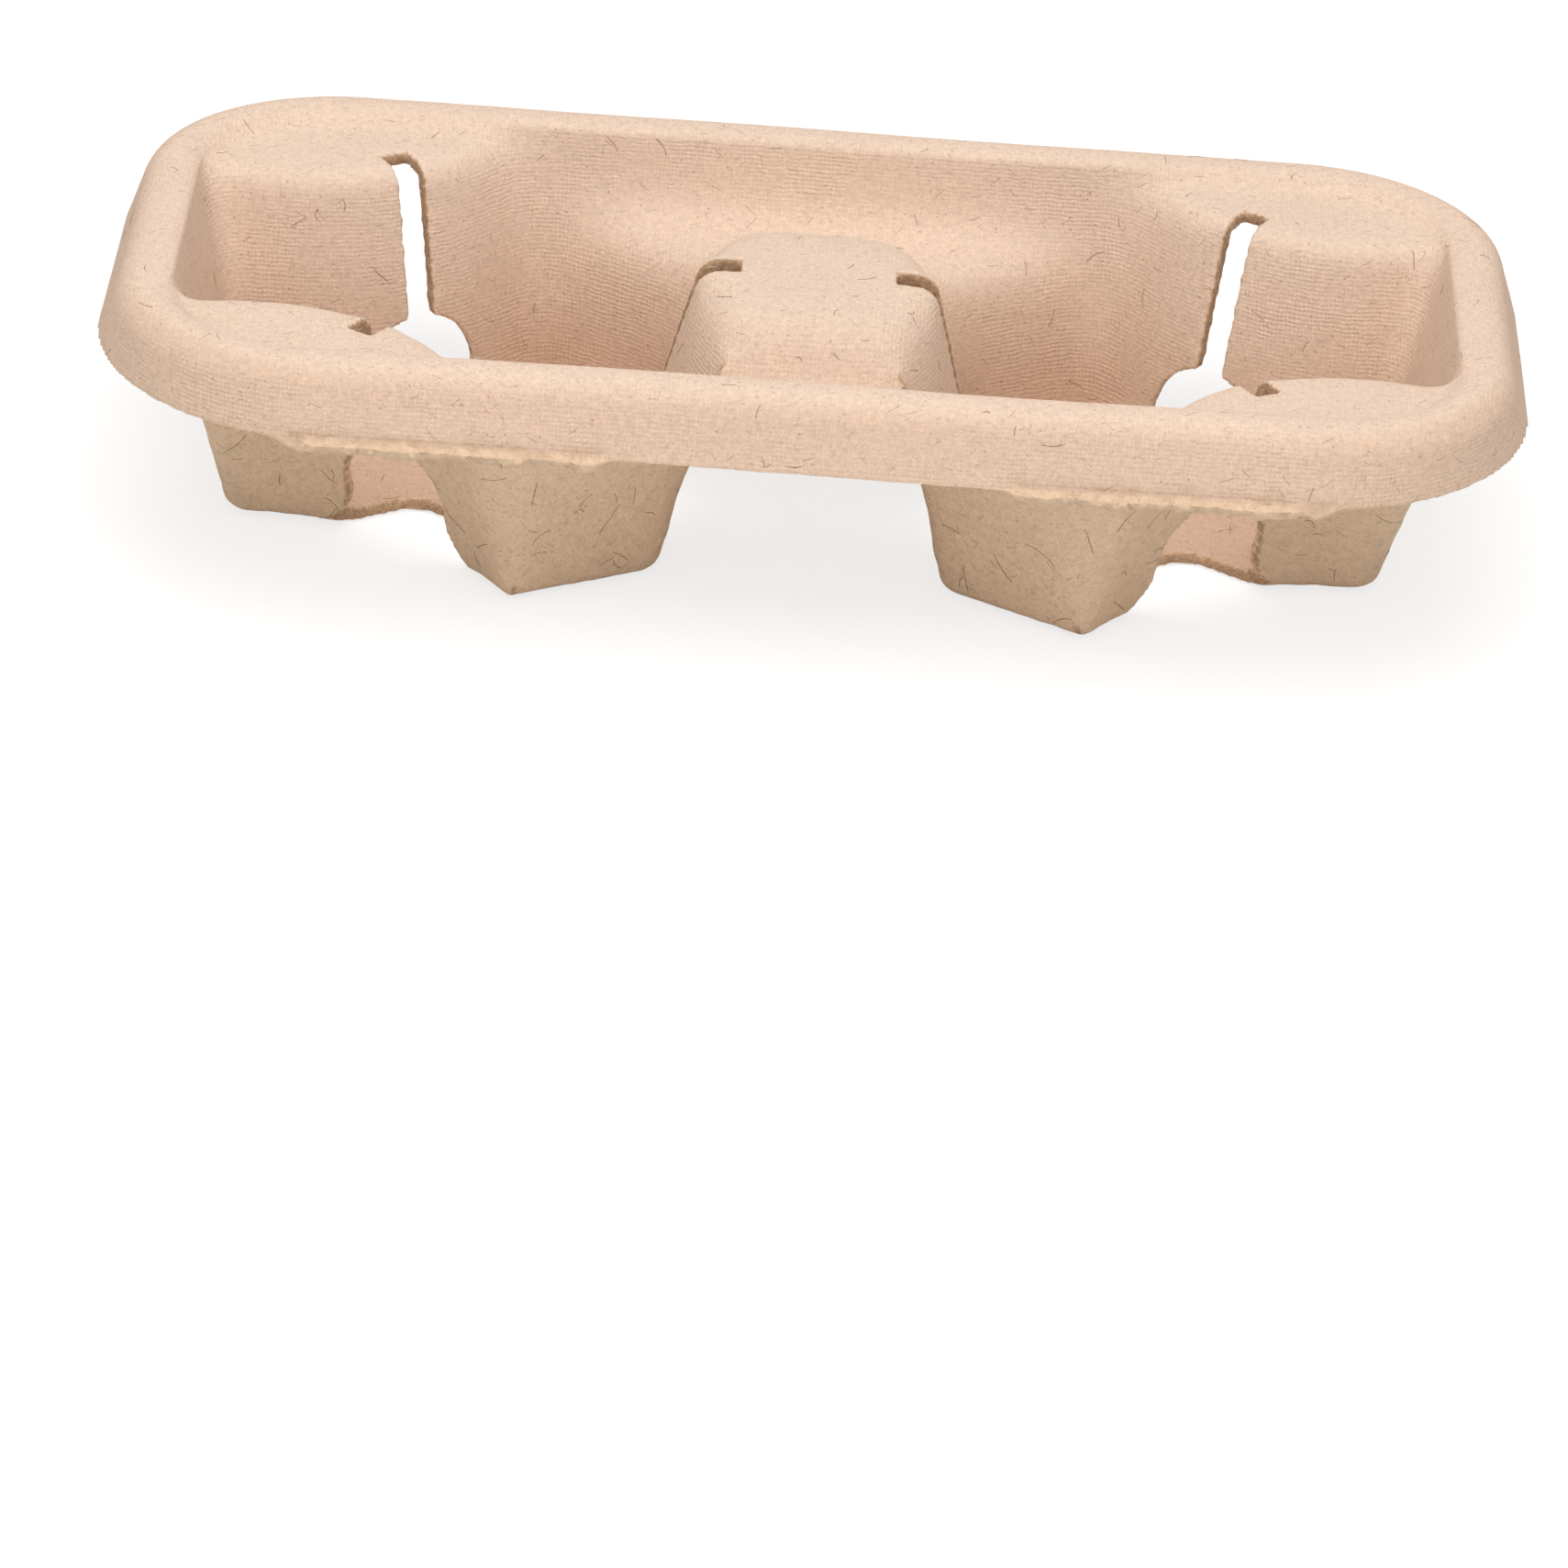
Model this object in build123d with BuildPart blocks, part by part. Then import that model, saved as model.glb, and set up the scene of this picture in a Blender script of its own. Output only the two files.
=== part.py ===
"""Two-cup carrier, moulded from one sheet of paper pulp, in millimetres.

The tray stands on its six feet at z = 0, its length runs along X and its width along Y, and the
origin is the middle of the footprint. The sheet is the space between two nested forms, the upper
face and the under face, which share every dimension and differ only by the wall.
"""

import os
from math import atan, cos, radians, sin, tan

from build123d import *

# Overall size, over the foot of the skirt
tray_length = 216.0
tray_width = 108.0
tray_height = 44.0
tray_corner = 37.0
wall = 2.0

# Rim: a skirt that flares to its foot, and a round crest
skirt_height = 10.5
skirt_flare = 4.0
crest_corner = 28.0
crest_radius = 5.0
crest_width = 6.1
crest_inner_radius = 4.0

# Shelf inside the rim, which is also the level of the bridge between the pockets
shelf_drop = 2.5
shelf_lip_run = 3.0
shelf_edge_radius = 3.6

# Pockets: a well with three grips that bulge towards the cup
pocket_spacing = 98.0
grip_angles = (60.0, 180.0, 300.0)
grip_distance = 67.0
grip_radius = 36.0
grip_draft = 15.0

# Feet: the bottoms of the three lobes that are left between the grips
foot_reach = 32.4
foot_draft = 12.0
wall_step = 1.0
side_draft = 11.2
end_draft = 13.0
well_corner = 24.0
foot_corner_radius = 4.0
floor_radius = 3.0

# Valleys in front of and behind the bridge
bridge_half_depth = 18.5
bridge_draft = 22.0
valley_drop = 14.0
valley_half_length = 44.0
valley_floor_radius = 4.0
bridge_edge_radius = 3.5

# Knife cuts: a slit down each grip, which opens into an arch between the feet
slit_width = 4.2
slit_end = 37.1
arch_half_width = 9.0
arch_outer = 34.0
arch_spring_z = 10.0
arch_inner = 11.2
arch_corner_radius = 5.0
arch_flare_radius = 8.0
arch_spread = 27.0

shelf_z = tray_height - shelf_drop
skirt_z = tray_height - skirt_height
skirt_slope = skirt_flare / skirt_height
lip_slope = shelf_lip_run / shelf_drop
grip_slope = tan(radians(grip_draft))
pocket_x = pocket_spacing / 2
above = 1.0
far = 60.0


def rounded_block(bottom, top):
    """A block lofted between two rounded rectangles, each a height, an inset in X and Y and a corner."""
    with BuildPart() as block:
        for height, inset_x, inset_y, corner in (bottom, top):
            with BuildSketch(Plane.XY.offset(height)):
                RectangleRounded(tray_length - 2 * inset_x, tray_width - 2 * inset_y, corner)
        loft(ruled=True)
    return block.part


def skirt_ring(height, shrink):
    """The outside of the skirt at a height, shrunk for the hollow inside it."""
    rise = (height - skirt_z) / skirt_height
    inset = skirt_flare * rise + shrink / cos(atan(skirt_slope))
    corner = tray_corner + (crest_corner - tray_corner) * rise - shrink
    return height, inset, inset, corner


def lip_ring(height, grow):
    """The sloping lip between the crest and the shelf at a height, grown for the under face."""
    inset = skirt_flare + crest_width + (tray_height - height) * lip_slope - grow / cos(atan(lip_slope))
    return height, inset, inset, crest_corner + skirt_flare - inset


def wall_ring(height, grow):
    """The walls of the wells and valleys under the rim at a height, grown for the under face."""
    depth = tray_height - height
    mouth = skirt_flare + crest_width + wall_step
    inset_x = mouth + depth * tan(radians(end_draft)) - grow
    inset_y = mouth + depth * tan(radians(side_draft)) - grow
    mouth_corner = crest_corner + skirt_flare - mouth
    corner = mouth_corner + (well_corner - mouth_corner) * depth / tray_height + grow
    return height, inset_x, inset_y, corner


def grip(grow, bottom):
    """One grip, a steep cone with a rounded top edge; grow is the wall for the under face."""
    top = shelf_z - grow
    top_radius = grip_radius - grow
    bottom_radius = top_radius + (top - bottom) * grip_slope
    with BuildPart() as cone:
        with BuildSketch(Plane.XZ) as profile:
            with BuildLine():
                Polyline((0, bottom), (bottom_radius, bottom), (top_radius, top), (0, top), close=True)
            make_face()
            shoulder = profile.vertices().group_by(Axis.Y)[-1].sort_by(Axis.X)[-1]
            fillet(shoulder, shelf_edge_radius - grow)
        revolve(axis=Axis.Z)
    return cone.part


def pocket(grow, bottom, top):
    """One well at +X, grown by grow, with its grips and its rounded feet."""
    reach = foot_reach + grow + (bottom - wall) * tan(radians(foot_draft))
    spread = (reach + far / 2) / sin(radians(60))
    bound = rounded_block(wall_ring(bottom, grow), wall_ring(top, grow))
    bump = grip(grow, bottom - above)
    with BuildPart() as well:
        with BuildSketch(Plane((pocket_x, 0, bottom))):
            with BuildLine():
                Polyline((-2 * reach, 0), (far, -spread), (far, spread), close=True)
            make_face()
        extrude(amount=top - bottom, taper=-foot_draft)
        for angle in grip_angles:
            x = pocket_x + grip_distance * cos(radians(angle))
            y = grip_distance * sin(radians(angle))
            with Locations((x, y, 0)):
                add(bump, mode=Mode.SUBTRACT)
        add(bound, mode=Mode.INTERSECT)
        standing = [e for e in well.edges() if stands_on(e, bottom)]
        fillet(standing, foot_corner_radius + grow / 2)
        floor_face = well.faces().filter_by(Plane.XY).sort_by(Axis.Z)[0]
        fillet(floor_face.edges(), floor_radius)
    return well.part


def stands_on(edge, bottom):
    """True for an edge that rises from the floor of a well, which is a corner of a foot."""
    heights = sorted(vertex.Z - bottom for vertex in edge.vertices())
    return abs(heights[0]) < 0.01 and heights[-1] > floor_radius


def valleys(grow, top):
    """The two troughs between the bridge and the long walls, grown by grow."""
    floor_z = tray_height - valley_drop - grow
    edge_z = shelf_z - grow
    edge_y = bridge_half_depth - grow
    foot_y = edge_y + (edge_z - floor_z) * tan(radians(bridge_draft))
    with BuildPart() as trough:
        with BuildSketch(Plane.YZ.offset(-valley_half_length)) as profile:
            with BuildLine():
                Polyline(
                    (foot_y, floor_z), (far, floor_z), (far, top),
                    (edge_y - far / 6, top), (edge_y - far / 6, edge_z), (edge_y, edge_z),
                    close=True,
                )
            make_face()
            inside = profile.vertices().filter_by(lambda v: abs(v.Y - floor_z) < 0.01).sort_by(Axis.X)[0]
            fillet(inside, valley_floor_radius)
            edge = profile.vertices().sort_by(lambda v: abs(v.X - edge_y) + abs(v.Y - edge_z))[0]
            fillet(edge, bridge_edge_radius - grow / 2)
        extrude(amount=2 * valley_half_length)
        mirror(about=Plane.XZ)
    return trough.part


def tray_face(grow):
    """The form of the upper face, or of the under face when grow is the wall."""
    bottom = wall - grow
    top = tray_height + above * (grow == 0)
    well = pocket(grow, bottom, top)
    valley_z = tray_height - valley_drop - grow
    with BuildPart() as form:
        add(valleys(grow, top))
        add(rounded_block(wall_ring(valley_z, grow), wall_ring(top, grow)), mode=Mode.INTERSECT)
        add(well)
        add(well.mirror(Plane.YZ))
        add(rounded_block(lip_ring(shelf_z - grow, grow), lip_ring(top, grow)))
    return form.part


def rim_block(shrink, top):
    """The outside of the rim with its round crest, shrunk by the wall for the hollow inside it."""
    with BuildPart() as block:
        add(rounded_block(skirt_ring(skirt_z, shrink), skirt_ring(top, shrink)))
        fillet(block.faces().sort_by(Axis.Z)[-1].edges(), crest_radius - shrink)
    return block.part


def knife():
    """The cut through one grip along +X: the slit, and the flared arch between two feet."""
    spread = tan(radians(arch_spread))
    with BuildPart() as cut:
        with BuildSketch(Plane.YZ) as arch:
            with Locations((0, arch_spring_z)):
                Circle(arch_half_width)
            with Locations((0, arch_spring_z / 2)):
                Rectangle(2 * arch_half_width, arch_spring_z)
            with Locations((0, -above / 2)):
                Rectangle(2 * (arch_half_width + arch_flare_radius + above), above)
            hips = arch.vertices().filter_by(lambda v: abs(v.Y) < 0.01).sort_by(lambda v: abs(v.X))
            fillet(hips[0:2], arch_flare_radius)
        extrude(amount=arch_outer)
        with BuildSketch(Plane.XY.offset(-above)) as plan:
            with BuildLine():
                Polyline(
                    (arch_inner, -arch_inner * spread), (arch_outer, -arch_outer * spread),
                    (arch_outer, arch_outer * spread), (arch_inner, arch_inner * spread),
                    close=True,
                )
            make_face()
            fillet(plan.vertices().sort_by(Axis.X)[0:2], arch_corner_radius)
        extrude(amount=tray_height, mode=Mode.INTERSECT)
        with BuildSketch(Plane.XY.offset(-above)):
            with Locations(((arch_inner + arch_half_width + slit_end) / 2, 0)):
                Rectangle(slit_end - arch_inner - arch_half_width, slit_width)
        extrude(amount=tray_height + 2 * above)
    return cut.part


with BuildPart() as cup_carrier:
    add(rim_block(0, tray_height))
    add(rim_block(wall, tray_height - wall), mode=Mode.SUBTRACT)
    add(tray_face(wall))
    add(tray_face(0), mode=Mode.SUBTRACT)
    blade = knife()
    for angle in grip_angles:
        with Locations(Location((pocket_x, 0, 0), (0, 0, angle)), Location((-pocket_x, 0, 0), (0, 0, angle + 180))):
            add(blade, mode=Mode.SUBTRACT)
    top_face = cup_carrier.faces().filter_by(Plane.XY).sort_by(Axis.Z)[-1]
    fillet(top_face.inner_wires()[0].edges(), crest_inner_radius)

cup_carrier.part.label = "cup_carrier"
os.makedirs("parts", exist_ok=True)
export_step(cup_carrier.part, "parts/cup_carrier.step")
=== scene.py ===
"""Looks of a moulded pulp cup carrier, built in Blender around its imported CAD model.

The CAD node gives the shape. The sheet that is shown is a finer mesh of the same walls, with softer
corners, a torn flash under the skirt, rough knife cuts and fibres, and one pulp material that reads
how each point lies in the sheet.
"""

from math import cos, pi, radians, sin

import bmesh
import bpy
import numpy as np
from mathutils import Matrix, Vector, noise
from mathutils.bvhtree import BVHTree


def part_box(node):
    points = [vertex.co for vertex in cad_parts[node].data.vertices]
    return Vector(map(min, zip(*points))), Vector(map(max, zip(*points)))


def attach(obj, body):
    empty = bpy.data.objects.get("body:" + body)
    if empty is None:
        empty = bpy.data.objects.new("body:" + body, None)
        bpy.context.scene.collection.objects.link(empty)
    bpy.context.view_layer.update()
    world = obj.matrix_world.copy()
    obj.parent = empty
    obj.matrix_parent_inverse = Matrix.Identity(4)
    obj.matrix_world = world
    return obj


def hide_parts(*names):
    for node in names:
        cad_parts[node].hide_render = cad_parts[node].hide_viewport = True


bl_info = {
    "name": "Moulded pulp cup carrier",
    "version": (1, 0, 0),
    "blender": (4, 5, 0),
    "location": "3D View > Sidebar > Pulp",
    "description": "Dresses the packed cup carrier as moulded paper pulp, with a white stage",
    "category": "Object",
}

MM = 0.001
NODE = "cup_carrier"
BODY = "root"

# Where a face lies in the sheet
UNDER, UPPER, CUT = 0, 1, 2

# Marks of the pulp and painted shade that aren't settings; the screen's pitch is in millimetres
SCREEN_PITCH = 0.66
WEAVE_COLOUR = (0.42, 0.24, 0.13, 1)
SPECK_COLOUR = (0.34, 0.18, 0.09, 1)
# Painted shade on the skirt's outer face
SKIRT_PAINTED_SHADE = (0.93, 0.88, 0.84)
# Painted shade deep in the wells
WELL_PAINTED_SHADE = (0.76, 0.68, 0.62)

# The floor lies just below the fibres under the feet
FLOOR_LEVEL = -0.35 * MM
FLOOR_HALF = 3.0

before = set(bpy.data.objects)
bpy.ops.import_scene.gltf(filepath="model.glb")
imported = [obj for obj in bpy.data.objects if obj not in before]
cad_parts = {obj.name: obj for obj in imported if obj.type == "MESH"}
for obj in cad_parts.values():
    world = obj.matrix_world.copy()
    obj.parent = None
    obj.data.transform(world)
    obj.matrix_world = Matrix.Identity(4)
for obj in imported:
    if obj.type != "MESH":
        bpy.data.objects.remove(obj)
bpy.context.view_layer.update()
LOW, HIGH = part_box(NODE)


class SheetSettings(bpy.types.PropertyGroup):
    """Sizes of the moulded sheet's mesh."""

    grain: bpy.props.FloatProperty(
        name="Grain", description="Size of the remesh cells", default=0.55 * MM, unit="LENGTH"
    )
    triangles: bpy.props.IntProperty(
        name="Triangles", description="Most triangles the sheet keeps", default=190_000
    )
    softening: bpy.props.IntProperty(
        name="Softening", description="Rounds that soften the corners of the wells", default=40
    )
    warp: bpy.props.FloatProperty(
        name="Warp", description="How far the dried sheet warps", default=0.35 * MM, unit="LENGTH"
    )
    lumps: bpy.props.FloatProperty(
        name="Lumps", description="Height of the felt side's lumps", default=0.09 * MM, unit="LENGTH"
    )
    tear: bpy.props.FloatProperty(
        name="Tear", description="Roughness of the knife cuts", default=0.28 * MM, unit="LENGTH"
    )
    skirt_foot: bpy.props.FloatProperty(
        name="Skirt foot", description="Height of the foot of the skirt", default=33.5 * MM, unit="LENGTH"
    )
    corner: bpy.props.FloatProperty(
        name="Corner", description="Radius of the skirt's foot at a corner", default=37 * MM, unit="LENGTH"
    )


class FlashSettings(bpy.types.PropertyGroup):
    """The torn flash that hangs below the skirt in front of each well."""

    drop: bpy.props.FloatProperty(
        name="Drop", description="How far the flash hangs down", default=2.3 * MM, unit="LENGTH"
    )
    inner_end: bpy.props.FloatProperty(
        name="Inner end", description="Where the flash starts from the middle", default=28 * MM, unit="LENGTH"
    )
    outer_end: bpy.props.FloatProperty(
        name="Outer end", description="Where the flash stops near the corner", default=80 * MM, unit="LENGTH"
    )
    crease: bpy.props.FloatProperty(
        name="Crease", description="Depth of the crease above the flash", default=0.35 * MM, unit="LENGTH"
    )


class FibreSettings(bpy.types.PropertyGroup):
    """How many fibres lie in the sheet, for each square metre."""

    dark: bpy.props.FloatProperty(name="Dark", description="Dark fibres", default=5_000)
    pale: bpy.props.FloatProperty(name="Pale", description="Pale fibres", default=18_000)
    fray: bpy.props.FloatProperty(name="Fray", description="Fibres on the knife cuts", default=160_000)
    width: bpy.props.FloatProperty(
        name="Width", description="Width of a fibre", default=0.11 * MM, unit="LENGTH"
    )


class ColourSettings(bpy.types.PropertyGroup):
    """Colours of the pulp."""

    screen_side: bpy.props.FloatVectorProperty(
        name="Screen side", description="Upper side, marked by the screen", subtype="COLOR",
        default=(0.81, 0.615, 0.48),
    )
    felt_side: bpy.props.FloatVectorProperty(
        name="Felt side", description="Under side", subtype="COLOR", default=(0.80, 0.59, 0.41)
    )
    cut: bpy.props.FloatVectorProperty(
        name="Cut", description="Knife cuts", subtype="COLOR", default=(0.52, 0.335, 0.205)
    )
    flash: bpy.props.FloatVectorProperty(
        name="Flash", description="Torn flash", subtype="COLOR", default=(0.87, 0.63, 0.43)
    )
    dark_fibre: bpy.props.FloatVectorProperty(
        name="Dark fibre", description="Dark fibres", subtype="COLOR", default=(0.26, 0.13, 0.065)
    )
    pale_fibre: bpy.props.FloatVectorProperty(
        name="Pale fibre", description="Pale fibres", subtype="COLOR", default=(0.82, 0.66, 0.50)
    )


class StageSettings(bpy.types.PropertyGroup):
    """Floor, light and camera."""

    sky: bpy.props.FloatProperty(name="Sky", description="Strength of the even light", default=0.45)
    key: bpy.props.FloatProperty(
        name="Key", description="Power of the lamp overhead", default=8.4, unit="POWER"
    )
    fill: bpy.props.FloatProperty(
        name="Fill", description="Power of the lamp in front", default=1.9, unit="POWER"
    )
    lens: bpy.props.FloatProperty(name="Lens", description="Focal length in millimetres", default=164.22)
    pitch: bpy.props.FloatProperty(
        name="Pitch", description="How far the camera looks down", default=0.5043, subtype="ANGLE"
    )
    roll: bpy.props.FloatProperty(
        name="Roll", description="How far the camera leans", default=radians(4), subtype="ANGLE"
    )
    eye: bpy.props.FloatVectorProperty(
        name="Eye", description="Where the camera stands", subtype="TRANSLATION",
        default=(0.0, -0.99069, 0.49889),
    )


# Shader maths


def find_socket(sockets, name):
    """Finds a socket by its number, identifier or name, among those in use."""
    if isinstance(name, int):
        return [s for s in sockets if s.enabled][name]
    return next(s for s in sockets if s.enabled and name in (s.identifier, s.name))


def shaded(colour, share):
    """A colour made darker or lighter, with its alpha."""
    return [min(1, part * share) for part in colour] + [1]


class Web:
    """The node tree of one material or world."""

    def __init__(self, tree):
        self.tree = tree
        tree.nodes.clear()

    def node(self, kind, settings=None, sockets=None, output=0):
        """Adds a node, sets it up and returns one of its outputs as a Wire."""
        node = self.tree.nodes.new(kind)
        for name, value in (settings or {}).items():
            setattr(node, name, value)
        for name, value in (sockets or {}).items():
            self.feed(find_socket(node.inputs, name), value)
        return Wire(self, find_socket(node.outputs, output)) if node.outputs else None

    def feed(self, socket, value):
        """Links a Wire to a socket, or sets the socket to a plain value."""
        if isinstance(value, Wire):
            self.tree.links.new(value.socket, socket)
        else:
            socket.default_value = value

    def vector(self, operation, *values, output=0):
        """Vector maths on two values; the second is the factor when it scales."""
        sockets = {("Scale" if operation == "SCALE" and i else i): v for i, v in enumerate(values)}
        return self.node("ShaderNodeVectorMath", {"operation": operation}, sockets, output)

    def blend(self, factor, first, second):
        """Mixes two colours."""
        return self.node(
            "ShaderNodeMix", {"data_type": "RGBA", "clamp_factor": True},
            {"Factor": factor, "A": first, "B": second},
        )

    def mottled(self, value, low, high, colour, dark, light):
        """A colour times dark where a value is low, and times light where it is high."""
        return self.blend(self.step(value, low, high), shaded(colour, dark), shaded(colour, light))

    def step(self, value, low, high, start=0.0, end=1.0):
        """A smooth step from start at low to end at high."""
        return self.node(
            "ShaderNodeMapRange", {"interpolation_type": "SMOOTHSTEP"},
            {"Value": value, "From Min": low, "From Max": high, "To Min": start, "To Max": end},
        )

    def cloud(self, point, size, detail=2.0, roughness=0.5):
        """Noise from -1 to 1, with lumps of a size in millimetres."""
        value = self.node(
            "ShaderNodeTexNoise", {"noise_dimensions": "3D"},
            {"Vector": point, "Scale": 1 / size, "Detail": detail, "Roughness": roughness},
        )
        return value * 2 - 1


class Wire:
    """A socket that shader maths is written on."""

    def __init__(self, web, socket):
        self.web = web
        self.socket = socket

    def beside(self, name):
        """Another output of the same node."""
        return Wire(self.web, find_socket(self.socket.node.outputs, name))

    def maths(self, operation, *values):
        """One step of maths on Wires and plain numbers."""
        return self.web.node("ShaderNodeMath", {"operation": operation}, dict(enumerate(values)))

    def __add__(self, other):
        return self.maths("ADD", self, other)

    def __mul__(self, other):
        return self.maths("MULTIPLY", self, other)

    def __sub__(self, other):
        return self.maths("SUBTRACT", self, other)

    def __rsub__(self, other):
        return self.maths("SUBTRACT", other, self)

    def __abs__(self):
        return self.maths("ABSOLUTE", self)

    __radd__ = __add__
    __rmul__ = __mul__

    def cosine(self):
        return self.maths("COSINE", self)

    def larger(self, other):
        return self.maths("MAXIMUM", self, other)


def new_material(name):
    """A material with nothing in it yet, and its Web."""
    material = bpy.data.materials.new(name)
    material.use_nodes = True
    return material, Web(material.node_tree)


def millimetres(web):
    """The point that is shaded, in millimetres."""
    return web.vector("SCALE", web.node("ShaderNodeTexCoord", output="Object"), 1 / MM)


def short_fibres(web, point, normal, cell, length, width, shift, share):
    """A mask of short fibres that lie in the surface, one for a share of the Voronoi cells."""
    moved = web.vector("ADD", point, (shift, shift * 0.7, shift * 1.3))
    middle = web.node(
        "ShaderNodeTexVoronoi", {"feature": "F1"}, {"Vector": moved, "Scale": 1 / cell}, "Position"
    )
    tint = middle.beside("Color")
    chance = web.node("ShaderNodeSeparateColor", sockets={0: tint})
    away = web.vector("SUBTRACT", moved, middle)
    random = web.vector("SUBTRACT", tint, (0.5, 0.5, 0.5))
    across = web.vector("NORMALIZE", web.vector("CROSS_PRODUCT", normal, random))
    along = web.vector("CROSS_PRODUCT", across, normal)
    run = web.vector("DOT_PRODUCT", away, along, output="Value")
    off = web.vector("DOT_PRODUCT", away, across, output="Value")
    bend = off + 0.22 * (run * (2.4 / length)).cosine()
    shape = web.step(abs(bend), width, width * 0.35) * web.step(abs(run), length / 2, length * 0.35)
    return shape * web.step(chance, 1 - share, 1 - share * 0.3)


def screen_weave(web, point, normal):
    """The mark of the moulding screen: wavy lines along each axis that lies in the surface."""
    wander = web.node(
        "ShaderNodeTexNoise", sockets={"Vector": point, "Scale": 0.45, "Detail": 1.0}, output="Color"
    )
    bent = web.vector("ADD", point, web.vector("SCALE", wander, 0.7))
    lines = web.node("ShaderNodeSeparateXYZ", sockets={0: bent})
    facing = web.node("ShaderNodeSeparateXYZ", sockets={0: normal})
    weave = 0.0
    for axis in "XYZ":
        face = facing.beside(axis)
        weave += (lines.beside(axis) * (2 * pi / SCREEN_PITCH)).cosine() * (1 - face * face)
    return weave


def pulp_material(colours):
    """Moulded pulp: a screen-marked upper side, a felted under side, knife cuts and torn flash."""
    material, web = new_material("moulded pulp")
    point = millimetres(web)
    level = web.node("ShaderNodeSeparateXYZ", sockets={0: point}, output="Z")
    normal = web.node("ShaderNodeNewGeometry", output="Normal")

    def mark(name):
        return web.node("ShaderNodeAttribute", {"attribute_name": name}, output="Fac")

    upper, cut, flash = mark("upper"), mark("cut"), mark("flash")
    crease, skirt = mark("crease"), mark("skirt")

    # Noise of all sizes, specks, the screen's weave and fibres
    fine = web.cloud(point, 0.34, 3.0, 0.6)
    felt = web.cloud(point, 1.5, 5.0, 0.68)
    grit = web.cloud(point, 0.9, 4.0, 0.7)
    patch = web.cloud(point, 9.0)
    broad = web.cloud(point, 34.0, 1.0)
    streaks = web.node(
        "ShaderNodeTexNoise", {"noise_dimensions": "3D"},
        {"Vector": point, "Scale": 1.3, "Detail": 4.0, "Roughness": 0.65, "Distortion": 2.2},
    )
    hairy = 1 - 5 * abs(streaks - 0.5)
    dots = web.node(
        "ShaderNodeTexVoronoi", {"feature": "F1"}, {"Vector": point, "Scale": 1 / 1.3}, "Distance"
    )
    lot = web.node("ShaderNodeSeparateColor", sockets={0: dots.beside("Color")})
    specks = web.step(dots, 0.19, 0.08) * web.step(lot, 0.55, 0.8)
    screen = screen_weave(web, point, normal) * web.step(patch + 1.4 * felt, -0.7, 0.7)
    long_dark = short_fibres(web, point, normal, cell=2.9, length=2.2, width=0.10, shift=11.0, share=0.22)
    short_dark = short_fibres(web, point, normal, cell=1.2, length=0.8, width=0.09, shift=47.0, share=0.35)
    dark = long_dark.larger(short_dark * 0.75)
    pale = short_fibres(web, point, normal, cell=1.5, length=1.4, width=0.11, shift=83.0, share=0.8)

    # The upper side, with painted shade on the skirt's outer face and deeper down in the wells
    top = web.mottled(0.7 * fine + grit + 0.35 * felt, -1.0, 1.0, colours.screen_side, 0.80, 1.17)
    top = web.blend(web.step(screen, 0.0, 1.8, 0.0, 0.16), top, WEAVE_COLOUR)
    top = web.blend(specks * 0.55, top, SPECK_COLOUR)
    # Painted shade on the skirt's outer face, which faces away from the overhead lamp
    top = web.blend(skirt, top, web.vector("MULTIPLY", top, SKIRT_PAINTED_SHADE))
    # Painted shade: darker and redder from 34 mm down to 6 mm, deep in the wells
    top = web.blend(web.step(level, 34.0, 6.0) * 0.85, top, web.vector("MULTIPLY", top, WELL_PAINTED_SHADE))

    # The under side, then what lies over both sides
    under = web.mottled(felt + 0.6 * fine + 0.7 * hairy, -0.9, 0.9, colours.felt_side, 0.70, 1.22)
    colour = web.blend(upper, under, top)
    colour = web.blend(cut, colour, web.mottled(felt + fine, -0.8, 0.9, colours.cut, 0.72, 1.55))
    colour = web.blend(flash, colour, web.mottled(felt, -0.5, 0.6, colours.flash, 0.8, 1.08))
    # Shade painted into the crease above the flash, in the colour of the cuts
    crease_painted_shade = crease * web.step(felt + grit, -0.7, 0.6, 0.75, 0.15)
    colour = web.blend(crease_painted_shade, colour, shaded(colours.cut, 1))
    colour = web.blend(dark * 0.5, colour, shaded(colours.dark_fibre, 1))
    colour = web.blend(pale * (0.55 - 0.37 * upper), colour, shaded(colours.pale_fibre, 1))
    shade = 1.0 + 0.035 * patch + 0.03 * broad
    shades = web.node("ShaderNodeCombineXYZ", sockets={0: shade, 1: shade, 2: shade})
    colour = web.vector("MULTIPLY", colour, shades)

    # Relief in millimetres
    rough_side = 0.12 * felt + 0.04 * fine + 0.05 * hairy + 0.05 * pale - 0.03 * dark
    screen_side = 0.034 * screen + 0.03 * fine + 0.03 * grit - 0.02 * dark
    height = rough_side + (screen_side - rough_side) * upper + 0.16 * felt * cut
    bump = web.node(
        "ShaderNodeBump", sockets={"Height": height, "Distance": MM, "Strength": 1.0, "Normal": normal}
    )
    surface = web.node(
        "ShaderNodeBsdfPrincipled",
        sockets={"Base Color": colour, "Roughness": 0.9, "Specular IOR Level": 0.22, "Normal": bump},
    )
    web.node("ShaderNodeOutputMaterial", sockets={"Surface": surface})
    return material


def fibre_material(name, colour):
    """A fibre's own colour, a little uneven along its length."""
    material, web = new_material(name)
    uneven = web.cloud(millimetres(web), 0.8)
    tint = web.blend(0.5 + 0.5 * uneven, shaded(colour, 0.75), shaded(colour, 1.25))
    surface = web.node(
        "ShaderNodeBsdfPrincipled",
        sockets={"Base Color": tint, "Roughness": 0.8, "Specular IOR Level": 0.3},
    )
    web.node("ShaderNodeOutputMaterial", sockets={"Surface": surface})
    return material


# Mesh work on arrays


def merged_copy(node):
    """The CAD node's mesh with its loose triangles joined."""
    solid = bmesh.new()
    solid.from_mesh(node.data)
    bmesh.ops.remove_doubles(solid, verts=solid.verts, dist=MM / 1000)
    return solid


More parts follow.
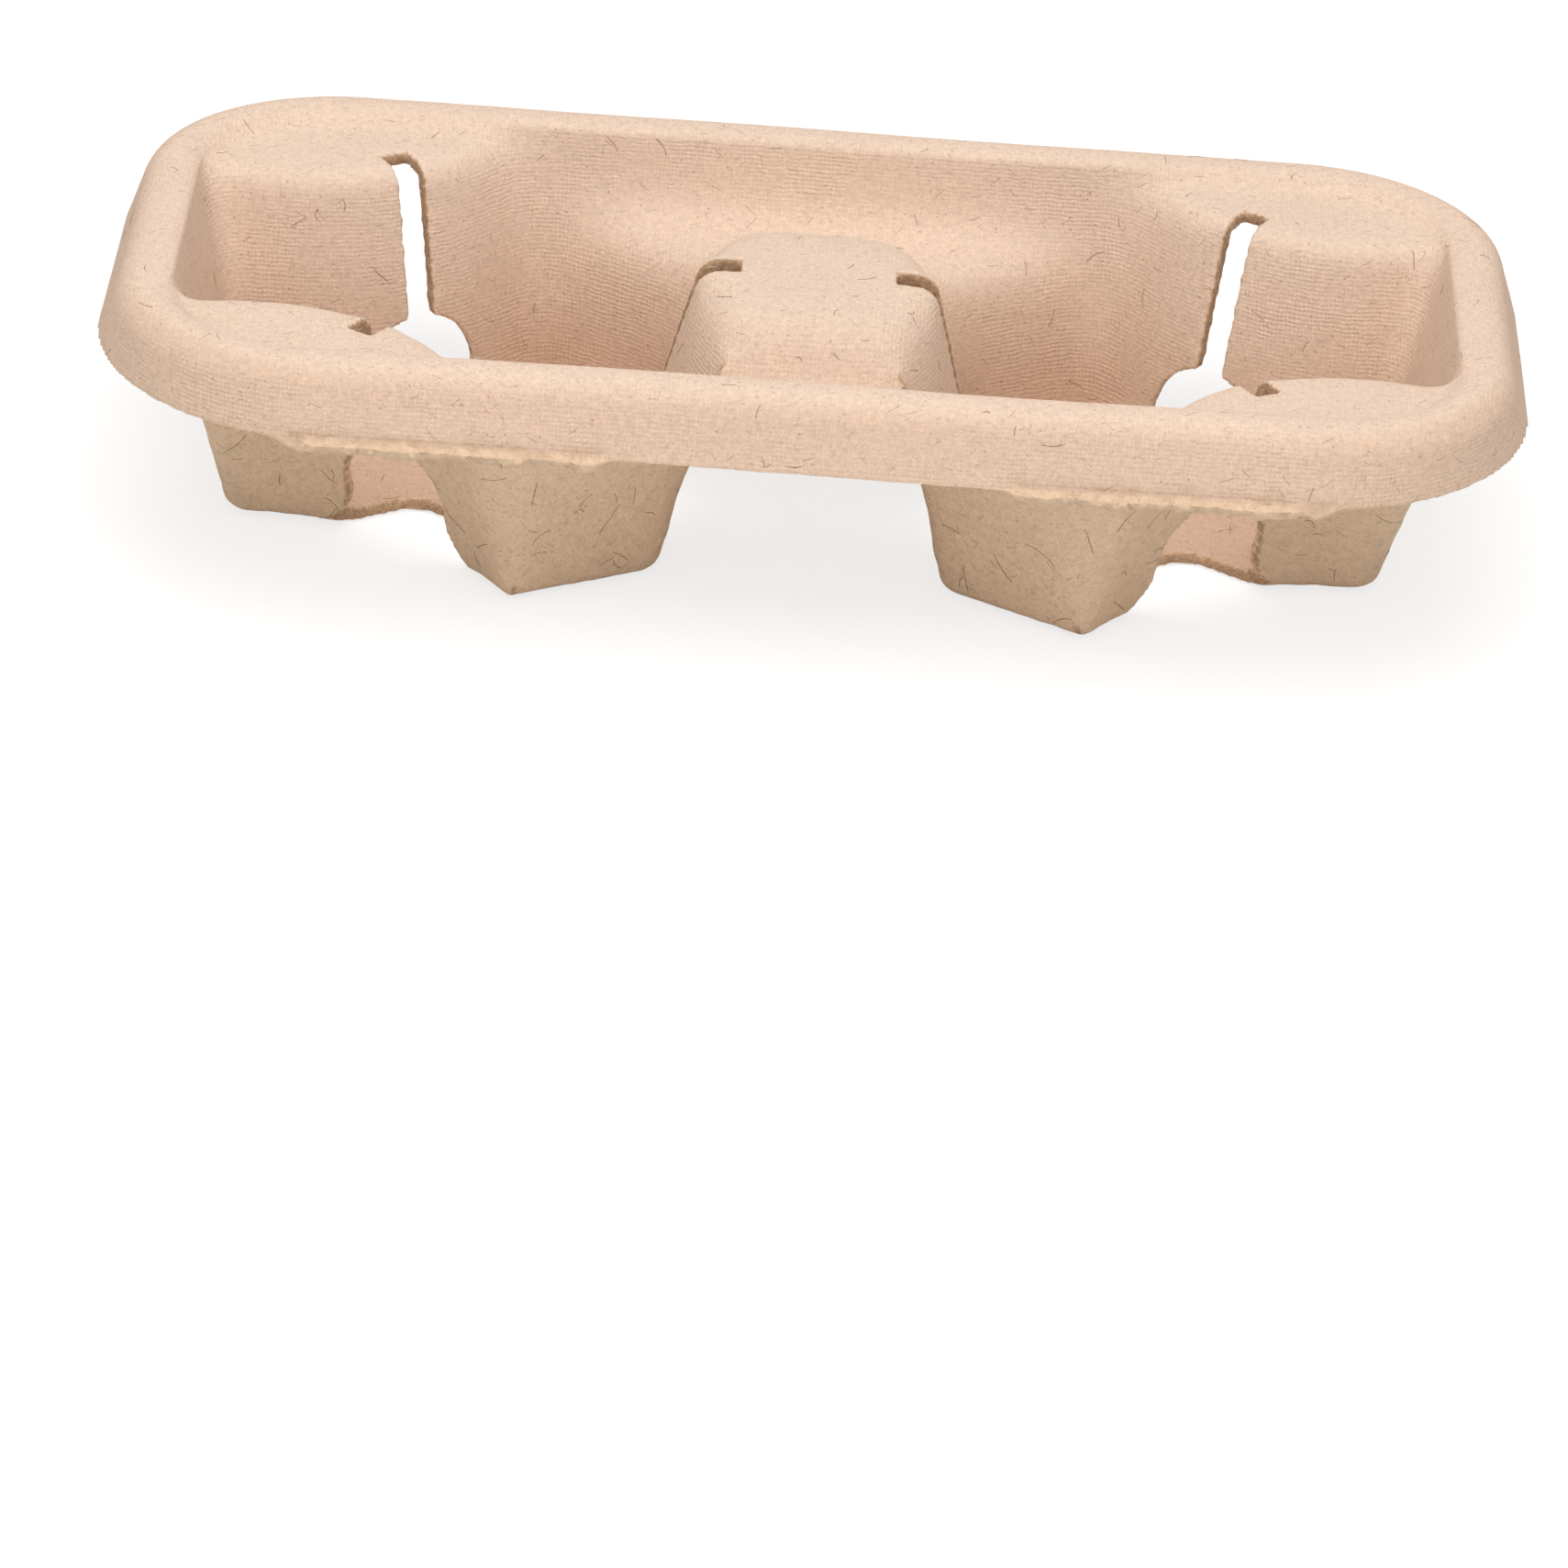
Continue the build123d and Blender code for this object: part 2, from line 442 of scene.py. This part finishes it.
def finished_mesh(name, mesh, kind, **settings):
    """The mesh after one modifier, with its fields."""
    carrier = bpy.data.objects.new(name, mesh)
    bpy.context.scene.collection.objects.link(carrier)
    modifier = carrier.modifiers.new(name, kind)
    for key, value in settings.items():
        setattr(modifier, key, value)
    graph = bpy.context.evaluated_depsgraph_get()
    result = bpy.data.meshes.new_from_object(
        carrier.evaluated_get(graph), preserve_all_data_layers=True, depsgraph=graph
    )
    bpy.data.objects.remove(carrier)
    return result


def mesh_points(mesh):
    """The mesh's points, one to a row."""
    points = np.empty(len(mesh.vertices) * 3)
    mesh.vertices.foreach_get("co", points)
    return points.reshape(-1, 3)


def mesh_normals(mesh):
    """The normal at each point of the mesh."""
    normals = np.empty(len(mesh.vertices) * 3)
    mesh.vertices.foreach_get("normal", normals)
    return normals.reshape(-1, 3)


def mesh_edges(mesh):
    """The two points that each edge of the mesh joins."""
    edges = np.empty(len(mesh.edges) * 2, dtype=np.int64)
    mesh.edges.foreach_get("vertices", edges)
    return edges.reshape(-1, 2)


def averaged(values, edges):
    """Each point's value, averaged over its neighbours along the edges."""
    first, second = edges.T
    count = len(values)
    ways = np.maximum(np.bincount(first, minlength=count) + np.bincount(second, minlength=count), 1)
    columns = [
        np.bincount(first, column[second], count) + np.bincount(second, column[first], count)
        for column in values.T
    ]
    return np.stack(columns, axis=1) / ways[:, None]


def spread(values, edges, rounds):
    """A field on the points, blurred along the surface."""
    field = values.reshape(-1, 1)
    for _ in range(rounds):
        field = 0.5 * field + 0.5 * averaged(field, edges)
    return field[:, 0]


def ramp(values, low, high):
    """A smooth step from 0 at low to 1 at high."""
    t = np.clip((values - low) / (high - low), 0, 1)
    return t * t * (3 - 2 * t)


def inset(points, corner):
    """How far each point lies inside the outline of the skirt's foot."""
    away = np.abs(points[:, :2]) - (HIGH.x - corner, HIGH.y - corner)
    return corner - np.hypot(*np.maximum(away, 0).T) - np.minimum(away.max(axis=1), 0)


def clouds(points, size, shift=0.0):
    """Noise from about -1 to 1 at each point, with lumps of a size in metres."""
    return np.array([noise.noise((x / size + shift, y / size, z / size)) for x, y, z in points.tolist()])


def sheet_sides(solid):
    """A tree of the CAD faces, and each one's side: upper, under, or a cut across the sheet."""
    tree = BVHTree.FromBMesh(solid)
    thickest = 4.5 * MM
    lift = MM / 100
    sides = []
    for face in solid.faces:
        inward = -face.normal
        thickness = tree.ray_cast(face.calc_center_median() + inward * lift, inward)[3]
        across = thickness is None or thickness > thickest
        sides.append(CUT if across else UPPER if face.normal.z > 0 else UNDER)
    return tree, np.array(sides)


def add_field(mesh, name, values):
    """Keeps a value from 0 to 1 on each point, for the material and the fibres to read."""
    field = mesh.attributes.new(name, "FLOAT", "POINT")
    field.data.foreach_set("value", np.clip(values, 0, 1).astype(np.float32))


def read_field(mesh, name):
    """The values of a field, one for each point."""
    values = np.empty(len(mesh.vertices), np.float32)
    mesh.attributes[name].data.foreach_get("value", values)
    return values


def shown_object(name, mesh, material):
    """An object of one material, linked to the scene."""
    piece = bpy.data.objects.new(name, mesh)
    bpy.context.scene.collection.objects.link(piece)
    mesh.materials.clear()
    mesh.materials.append(material)
    return piece


class PULP_OT_mould_sheet(bpy.types.Operator):
    """Mould the sheet: the carrier's walls with soft corners, torn flash and rough cuts"""

    bl_idname = "pulp.mould_sheet"
    bl_label = "Mould the sheet"

    def execute(self, context):
        sheet = context.scene.pulp_sheet
        flash = context.scene.pulp_flash
        solid = merged_copy(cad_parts[NODE])
        tree, sides = sheet_sides(solid)
        joined = bpy.data.meshes.new("joined")
        solid.to_mesh(joined)
        solid.free()
        mesh = finished_mesh("walls", joined, "REMESH", mode="VOXEL", voxel_size=sheet.grain)
        points, edges, normals = mesh_points(mesh), mesh_edges(mesh), mesh_normals(mesh)
        nearest = np.array([tree.find_nearest(p)[2] for p in points.tolist()])
        side = sides[nearest]
        cut = spread((side == CUT).astype(float), edges, 1)
        upper = spread(((side == UPPER) | ((side == CUT) & (normals[:, 2] > 0.5))).astype(float), edges, 2)

        points = self.soften(points, edges, cut, sheet)
        points, torn, crease = self.pull_flash(points, side, sheet, flash)
        points = self.roughen(points, mesh, upper, cut, torn, sheet)
        mesh.vertices.foreach_set("co", points.ravel())
        add_field(mesh, "upper", upper)
        add_field(mesh, "cut", ramp(cut, 0.35, 0.8) * (1 - torn))
        add_field(mesh, "flash", torn)
        add_field(mesh, "crease", crease)
        # The skirt's outer face, which the material darkens with painted shade
        add_field(mesh, "skirt", 1 - ramp(inset(points, sheet.corner), 2.5 * MM, 6.0 * MM))
        mesh.update()
        share = sheet.triangles / (2 * len(mesh.polygons))
        if share < 1:
            mesh = finished_mesh("walls", mesh, "DECIMATE", ratio=share)
        mesh.shade_smooth()
        piece = shown_object("moulded_sheet", mesh, pulp_material(context.scene.pulp_colours))
        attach(piece, BODY)
        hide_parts(NODE)
        return {"FINISHED"}

    def soften(self, points, edges, cut, sheet):
        """Rounds the corners of the wells and troughs, and leaves the rim, cuts and feet as they are."""
        z = points[:, 2]
        keep = spread((cut > 0.05).astype(float), edges, 3)
        inner = ramp(inset(points, sheet.corner), 9.5 * MM, 12.5 * MM)
        within = inner * ramp(z - LOW.z, 1.0 * MM, 5.0 * MM) * ramp(HIGH.z - z, 1.0 * MM, 3.0 * MM)
        middle = (1 - ramp(np.abs(points[:, 0]), 40 * MM, 60 * MM)) * ramp(z, 5 * MM, 14 * MM)
        bridge_rounds = 7 * sheet.softening
        follow_rounds = 24
        free = 1 - np.clip(6 * keep, 0, 1)
        soft = points.copy()
        for reach, rounds in ((within, sheet.softening), (within * middle, bridge_rounds)):
            linked = edges[(reach > 0)[edges].any(axis=1)]
            moving, linked = np.unique(linked, return_inverse=True)
            linked = linked.reshape(-1, 2)
            part, pull = soft[moving], (0.6 * free * reach)[moving, None]
            for _ in range(rounds):
                part = part + pull * (averaged(part, linked) - part)
            soft[moving] = part

        # The cuts follow the sheet around them
        shift = soft - points
        held = (free < 0.9)[:, None]
        for _ in range(follow_rounds):
            shift = np.where(held, averaged(shift, edges), shift)
        return points + shift * inner[:, None]

    def pull_flash(self, points, side, sheet, flash):
        """Pulls the foot of the skirt down into a ragged fin in front of and behind each well."""
        x, y, z = points.T
        reach = inset(points, sheet.corner)
        lengthwise = points * (1, 0, 0)
        wander = clouds(lengthwise, 7 * MM, 5.0) + 0.5 * clouds(lengthwise, 1.6 * MM, 9.0)
        along = np.abs(x) + 3 * MM * wander
        span = ramp(along, flash.inner_end, flash.inner_end + 5 * MM)
        span *= 1 - ramp(along, flash.outer_end - 6 * MM, flash.outer_end)
        hang = flash.drop * span * (0.85 + 0.4 * wander)
        fin = ramp(reach, -0.2 * MM, 0.5 * MM)
        closeness = 1 - np.abs(z - sheet.skirt_foot) / (1.2 * MM)
        below = (closeness > 0.3) & (z < sheet.skirt_foot + 0.45 * MM) & (reach < 4.2 * MM)
        moved = points.copy()
        moved[:, 2] -= np.where(below, hang * fin, 0)
        moved[:, 1] += np.sign(y) * np.where(below, (0.35 + 0.5 * wander) * MM * span, 0)
        above = z - (sheet.skirt_foot + (0.75 + 0.35 * wander) * MM)
        # The crease above the flash: pressed in here, and given painted shade by the material
        crease = np.exp(-((above / (0.28 * MM)) ** 2)) * span * (reach < 1.6 * MM) * (side != UNDER)
        moved[:, 1] -= np.sign(y) * flash.crease * crease
        torn = np.clip(span * below, 0, 1)
        return moved, torn, crease

    def roughen(self, points, mesh, upper, cut, torn, sheet):
        """Warps the dried sheet, lumps its felt side and tears its cuts."""
        mesh.vertices.foreach_set("co", points.ravel())
        mesh.update()
        normals = mesh_normals(mesh)
        z = points[:, 2]
        planted = ramp(z - LOW.z, 0.0, 12 * MM)[:, None]
        warp = np.stack([clouds(points, 46 * MM, shift) for shift in (1.0, 21.0, 41.0)], axis=1)
        lumps = sheet.lumps * clouds(points, 2.6 * MM, 61.0) * (1.25 - upper)
        tear = sheet.tear * clouds(points, 0.9 * MM, 71.0) * np.clip(0.45 * cut + torn, 0, 1)
        points = points + sheet.warp * warp * planted + normals * (lumps + tear)[:, None]
        points[:, 2] = np.maximum(points[:, 2], LOW.z)
        return points


class FibreTree:
    """A Geometry Nodes tree that lays curved fibres on a sheet."""

    def __init__(self, name):
        self.tree = bpy.data.node_groups.new(name, "GeometryNodeTree")
        self.inputs = {}
        for label, kind in (
            ("Sheet", "NodeSocketGeometry"), ("Density", "NodeSocketFloat"), ("Length", "NodeSocketFloat"),
            ("Width", "NodeSocketFloat"), ("Lift", "NodeSocketFloat"), ("Seed", "NodeSocketInt"),
            ("Mask", "NodeSocketString"), ("Material", "NodeSocketMaterial"),
        ):
            socket = self.tree.interface.new_socket(label, in_out="INPUT", socket_type=kind)
            self.inputs[label] = socket.identifier
        self.tree.interface.new_socket("Fibres", in_out="OUTPUT", socket_type="NodeSocketGeometry")
        self.entry = self.add("NodeGroupInput")

    def add(self, kind, settings=None, sockets=None):
        """Adds a node; a socket is given as a value or as a pair of node and output name."""
        node = self.tree.nodes.new(kind)
        for key, value in (settings or {}).items():
            setattr(node, key, value)
        for key, value in (sockets or {}).items():
            target = find_socket(node.inputs, key)
            if isinstance(value, tuple) and isinstance(value[0], bpy.types.Node):
                self.tree.links.new(find_socket(value[0].outputs, value[1]), target)
            else:
                target.default_value = value
        return node


def fibre_tree():
    """Scatters fibres over a sheet, bends each one, presses it on to the surface and gives it width."""
    web = FibreTree("lay fibres")
    entry = web.entry

    # One bent strand at each scattered point, turned in the surface and of its own length
    mask = web.add("GeometryNodeInputNamedAttribute", {"data_type": "FLOAT"}, {"Name": (entry, "Mask")})
    density = web.add(
        "ShaderNodeMath", {"operation": "MULTIPLY"}, {0: (mask, "Attribute"), 1: (entry, "Density")}
    )
    scatter = web.add(
        "GeometryNodeDistributePointsOnFaces", None,
        {"Mesh": (entry, "Sheet"), "Density": (density, 0), "Seed": (entry, "Seed")},
    )
    strand = web.add(
        "GeometryNodeCurveQuadraticBezier", None,
        {"Resolution": 7, "Start": (-0.5, 0, 0), "Middle": (0.05, 0.42, 0), "End": (0.5, 0.06, 0)},
    )
    spin = web.add(
        "FunctionNodeRandomValue", {"data_type": "FLOAT_VECTOR"},
        {"Min": (0, 0, -pi), "Max": (0, 0, pi), "Seed": (entry, "Seed")},
    )
    turn = web.add("FunctionNodeEulerToRotation", None, {0: (spin, "Value")})
    lie = web.add(
        "FunctionNodeRotateRotation", {"rotation_space": "LOCAL"},
        {"Rotation": (scatter, "Rotation"), "Rotate By": (turn, 0)},
    )
    size = web.add(
        "FunctionNodeRandomValue", {"data_type": "FLOAT_VECTOR"},
        {"Min": (0.35, -0.8, 0.3), "Max": (1.3, 0.8, 1.0), "Seed": (entry, "Seed")},
    )
    scale = web.add(
        "ShaderNodeVectorMath", {"operation": "SCALE"}, {0: (size, "Value"), "Scale": (entry, "Length")}
    )
    placed = web.add(
        "GeometryNodeInstanceOnPoints", None,
        {
            "Points": (scatter, "Points"), "Instance": (strand, "Curve"), "Rotation": (lie, 0),
            "Scale": (scale, 0),
        },
    )

    # Pressed on to the sheet, and lifted off it here and there
    loose = web.add("GeometryNodeRealizeInstances", None, {"Geometry": (placed, "Instances")})
    near = web.add("GeometryNodeProximity", {"target_element": "FACES"}, {0: (entry, "Sheet")})
    here = web.add("GeometryNodeInputPosition")
    ripple = web.add(
        "ShaderNodeTexNoise", None, {"Vector": (here, "Position"), "Scale": 0.9 / MM, "Detail": 1.0}
    )
    centred = web.add(
        "ShaderNodeVectorMath", {"operation": "SUBTRACT"}, {0: (ripple, "Color"), 1: (0.5, 0.5, 0.5)}
    )
    stir = web.add(
        "ShaderNodeVectorMath", {"operation": "SCALE"}, {0: (centred, 0), "Scale": (entry, "Lift")}
    )
    pressed = web.add(
        "GeometryNodeSetPosition", None,
        {"Geometry": (loose, "Geometry"), "Position": (near, "Position"), "Offset": (stir, 0)},
    )

    # A thin tube of four sides along each strand
    outline = web.add("GeometryNodeCurvePrimitiveCircle", None, {"Resolution": 4})
    half = web.add("ShaderNodeMath", {"operation": "MULTIPLY"}, {0: (entry, "Width"), 1: 0.5})
    girth = web.add("ShaderNodeCombineXYZ", None, {0: (half, 0), 1: (half, 0), 2: (half, 0)})
    ring = web.add(
        "GeometryNodeTransform", None, {"Geometry": (outline, "Curve"), "Scale": (girth, 0)}
    )
    tube = web.add(
        "GeometryNodeCurveToMesh", None,
        {"Curve": (pressed, "Geometry"), "Profile Curve": (ring, "Geometry"), "Fill Caps": True},
    )
    solid = web.add("GeometryNodeRealizeInstances", None, {"Geometry": (tube, "Mesh")})
    tinted = web.add(
        "GeometryNodeSetMaterial", None, {"Geometry": (solid, "Geometry"), "Material": (entry, "Material")}
    )
    web.add("NodeGroupOutput", None, {"Fibres": (tinted, "Geometry")})
    return web


def lay_fibres(name, sheet, web, material, **values):
    """Runs the fibre tree over the sheet and returns the fibres as a piece of their own."""
    carrier = bpy.data.objects.new(name, sheet.data)
    bpy.context.scene.collection.objects.link(carrier)
    modifier = carrier.modifiers.new(name, "NODES")
    modifier.node_group = web.tree
    for label, value in {**values, "Material": material}.items():
        modifier[web.inputs[label]] = value
    graph = bpy.context.evaluated_depsgraph_get()
    mesh = bpy.data.meshes.new_from_object(carrier.evaluated_get(graph), depsgraph=graph)
    bpy.data.objects.remove(carrier)
    if not mesh.polygons:
        raise RuntimeError(f"{name}: the fibre tree laid no fibre")
    mesh.shade_smooth()
    piece = shown_object(name, mesh, material)
    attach(piece, BODY)
    return piece


class PULP_OT_lay_fibres(bpy.types.Operator):
    """Lay dark and pale fibres on both sides of the sheet, and fray its cuts"""

    bl_idname = "pulp.lay_fibres"
    bl_label = "Lay the fibres"

    def execute(self, context):
        fibres = context.scene.pulp_fibres
        colours = context.scene.pulp_colours
        sheet = bpy.data.objects["moulded_sheet"]
        mesh = sheet.data
        upper, cut, torn = (read_field(mesh, name) for name in ("upper", "cut", "flash"))
        add_field(mesh, "felt", 1 - upper)
        add_field(mesh, "edge", np.clip(cut * cut + torn, 0, 1))
        web = fibre_tree()
        dark = fibre_material("dark fibre", colours.dark_fibre)
        pale = fibre_material("pale fibre", colours.pale_fibre)
        common = {"Width": fibres.width, "Lift": 0.1 * MM}
        lay_fibres(
            "dark_fibres_above", sheet, web, dark,
            Density=fibres.dark, Length=2.6 * MM, Mask="upper", Seed=3, **common,
        )
        lay_fibres(
            "dark_fibres_below", sheet, web, dark,
            Density=3 * fibres.dark, Length=4.4 * MM, Mask="felt", Seed=5, **common,
        )
        lay_fibres(
            "pale_fibres_below", sheet, web, pale,
            Density=fibres.pale, Length=3.4 * MM, Mask="felt", Seed=7, **common,
        )
        lay_fibres(
            "frayed_cuts", sheet, web, pale,
            Density=fibres.fray, Length=1.1 * MM, Mask="edge", Seed=11, Width=0.09 * MM, Lift=0.5 * MM,
        )
        return {"FINISHED"}


class PULP_OT_set_stage(bpy.types.Operator):
    """Set the white floor, the soft studio light and the camera"""

    bl_idname = "pulp.set_stage"
    bl_label = "Set the stage"

    def execute(self, context):
        stage = context.scene.pulp_stage
        self.lay_floor()
        self.hang_sky(context, stage)
        self.hang_lamp("key", stage.key, place=(-0.04, -0.28, 1.0), size=0.95, colour=(1.0, 1.0, 1.0))
        self.hang_lamp("fill", stage.fill, place=(0.1, -1.25, 0.3), size=0.8, colour=(1.0, 0.98, 0.95))
        self.place_camera(context, stage)
        context.scene.view_settings.view_transform = "Standard"
        return {"FINISHED"}

    def lay_floor(self):
        """A floor that looks white to the camera and lights the carrier like grey paper."""
        mesh = bpy.data.meshes.new("floor")
        signs = ((-1, -1), (1, -1), (1, 1), (-1, 1))
        corners = [(x * FLOOR_HALF, y * FLOOR_HALF, FLOOR_LEVEL) for x, y in signs]
        mesh.from_pydata(corners, [], [(0, 1, 2, 3)])
        floor = bpy.data.objects.new("floor", mesh)
        bpy.context.scene.collection.objects.link(floor)
        material, web = new_material("white floor")
        paper = web.node("ShaderNodeBsdfDiffuse", sockets={"Color": (0.8, 0.8, 0.8, 1)})
        shadow = web.node("ShaderNodeBsdfDiffuse", sockets={"Color": (0.34, 0.34, 0.34, 1)})
        glow = web.node("ShaderNodeEmission", sockets={"Color": (1, 1, 1, 1), "Strength": 0.74})
        white = web.node("ShaderNodeAddShader", sockets={0: shadow, 1: glow})
        surface = web.node("ShaderNodeMixShader", sockets={0: self.seen_ray(web), 1: paper, 2: white})
        web.node("ShaderNodeOutputMaterial", sockets={"Surface": surface})
        mesh.materials.append(material)

    def seen_ray(self, web):
        """1 on rays from the camera, and on those that gloss or glass sends on."""
        seen = web.node("ShaderNodeLightPath", output="Is Camera Ray")
        return seen.larger(seen.beside("Is Glossy Ray")).larger(seen.beside("Is Transmission Ray"))

    def hang_sky(self, context, stage):
        """Even light from all round, behind a background that looks white."""
        world = bpy.data.worlds.new("white studio")
        context.scene.world = world
        world.use_nodes = True
        web = Web(world.node_tree)
        soft = web.node("ShaderNodeBackground", sockets={"Color": (1, 1, 1, 1), "Strength": stage.sky})
        white = web.node("ShaderNodeBackground", sockets={"Color": (1, 1, 1, 1), "Strength": 1.0})
        surface = web.node("ShaderNodeMixShader", sockets={0: self.seen_ray(web), 1: soft, 2: white})
        web.node("ShaderNodeOutputWorld", sockets={"Surface": surface})

    def hang_lamp(self, name, power, place, size, colour):
        """A square lamp that faces the carrier."""
        lamp = bpy.data.lights.new(name, "AREA")
        lamp.color = colour
        lamp.size = size
        lamp.energy = power
        holder = bpy.data.objects.new(name, lamp)
        holder.location = place
        holder.rotation_euler = (-Vector(place)).to_track_quat("-Z", "Y").to_euler()
        bpy.context.scene.collection.objects.link(holder)

    def place_camera(self, context, stage):
        """A camera where the photograph was taken from, with the same lean."""
        ahead = Vector((0, cos(stage.pitch), -sin(stage.pitch)))
        level = Vector((1, 0, 0))
        upright = level.cross(ahead)
        right = level * cos(stage.roll) + upright * sin(stage.roll)
        up = upright * cos(stage.roll) - level * sin(stage.roll)
        camera = bpy.data.cameras.new("camera")
        camera.sensor_width = 36
        camera.lens = stage.lens
        holder = bpy.data.objects.new("camera", camera)
        turn = Matrix((right, up, -ahead)).transposed().to_4x4()
        holder.matrix_world = Matrix.Translation(stage.eye) @ turn
        context.scene.collection.objects.link(holder)
        context.scene.camera = holder


class PULP_PT_panel(bpy.types.Panel):
    """The carrier's settings and steps"""

    bl_label = "Moulded pulp"
    bl_idname = "PULP_PT_panel"
    bl_space_type = "VIEW_3D"
    bl_region_type = "UI"
    bl_category = "Pulp"

    def draw(self, context):
        for name in SETTINGS:
            box = self.layout.box()
            settings = getattr(context.scene, name)
            for key in settings.__annotations__:
                box.prop(settings, key)
        for operator in OPERATORS:
            self.layout.operator(operator.bl_idname)


SETTINGS = {
    "pulp_sheet": SheetSettings,
    "pulp_flash": FlashSettings,
    "pulp_fibres": FibreSettings,
    "pulp_colours": ColourSettings,
    "pulp_stage": StageSettings,
}
OPERATORS = (PULP_OT_mould_sheet, PULP_OT_lay_fibres, PULP_OT_set_stage)
CLASSES = (*SETTINGS.values(), *OPERATORS, PULP_PT_panel)


def register():
    for cls in CLASSES:
        bpy.utils.register_class(cls)
    for name, cls in SETTINGS.items():
        setattr(bpy.types.Scene, name, bpy.props.PointerProperty(type=cls))


def unregister():
    for name in SETTINGS:
        delattr(bpy.types.Scene, name)
    for cls in reversed(CLASSES):
        bpy.utils.unregister_class(cls)


def main():
    register()
    bpy.ops.pulp.mould_sheet()
    bpy.ops.pulp.lay_fibres()
    bpy.ops.pulp.set_stage()


if __name__ == "__main__":
    main()
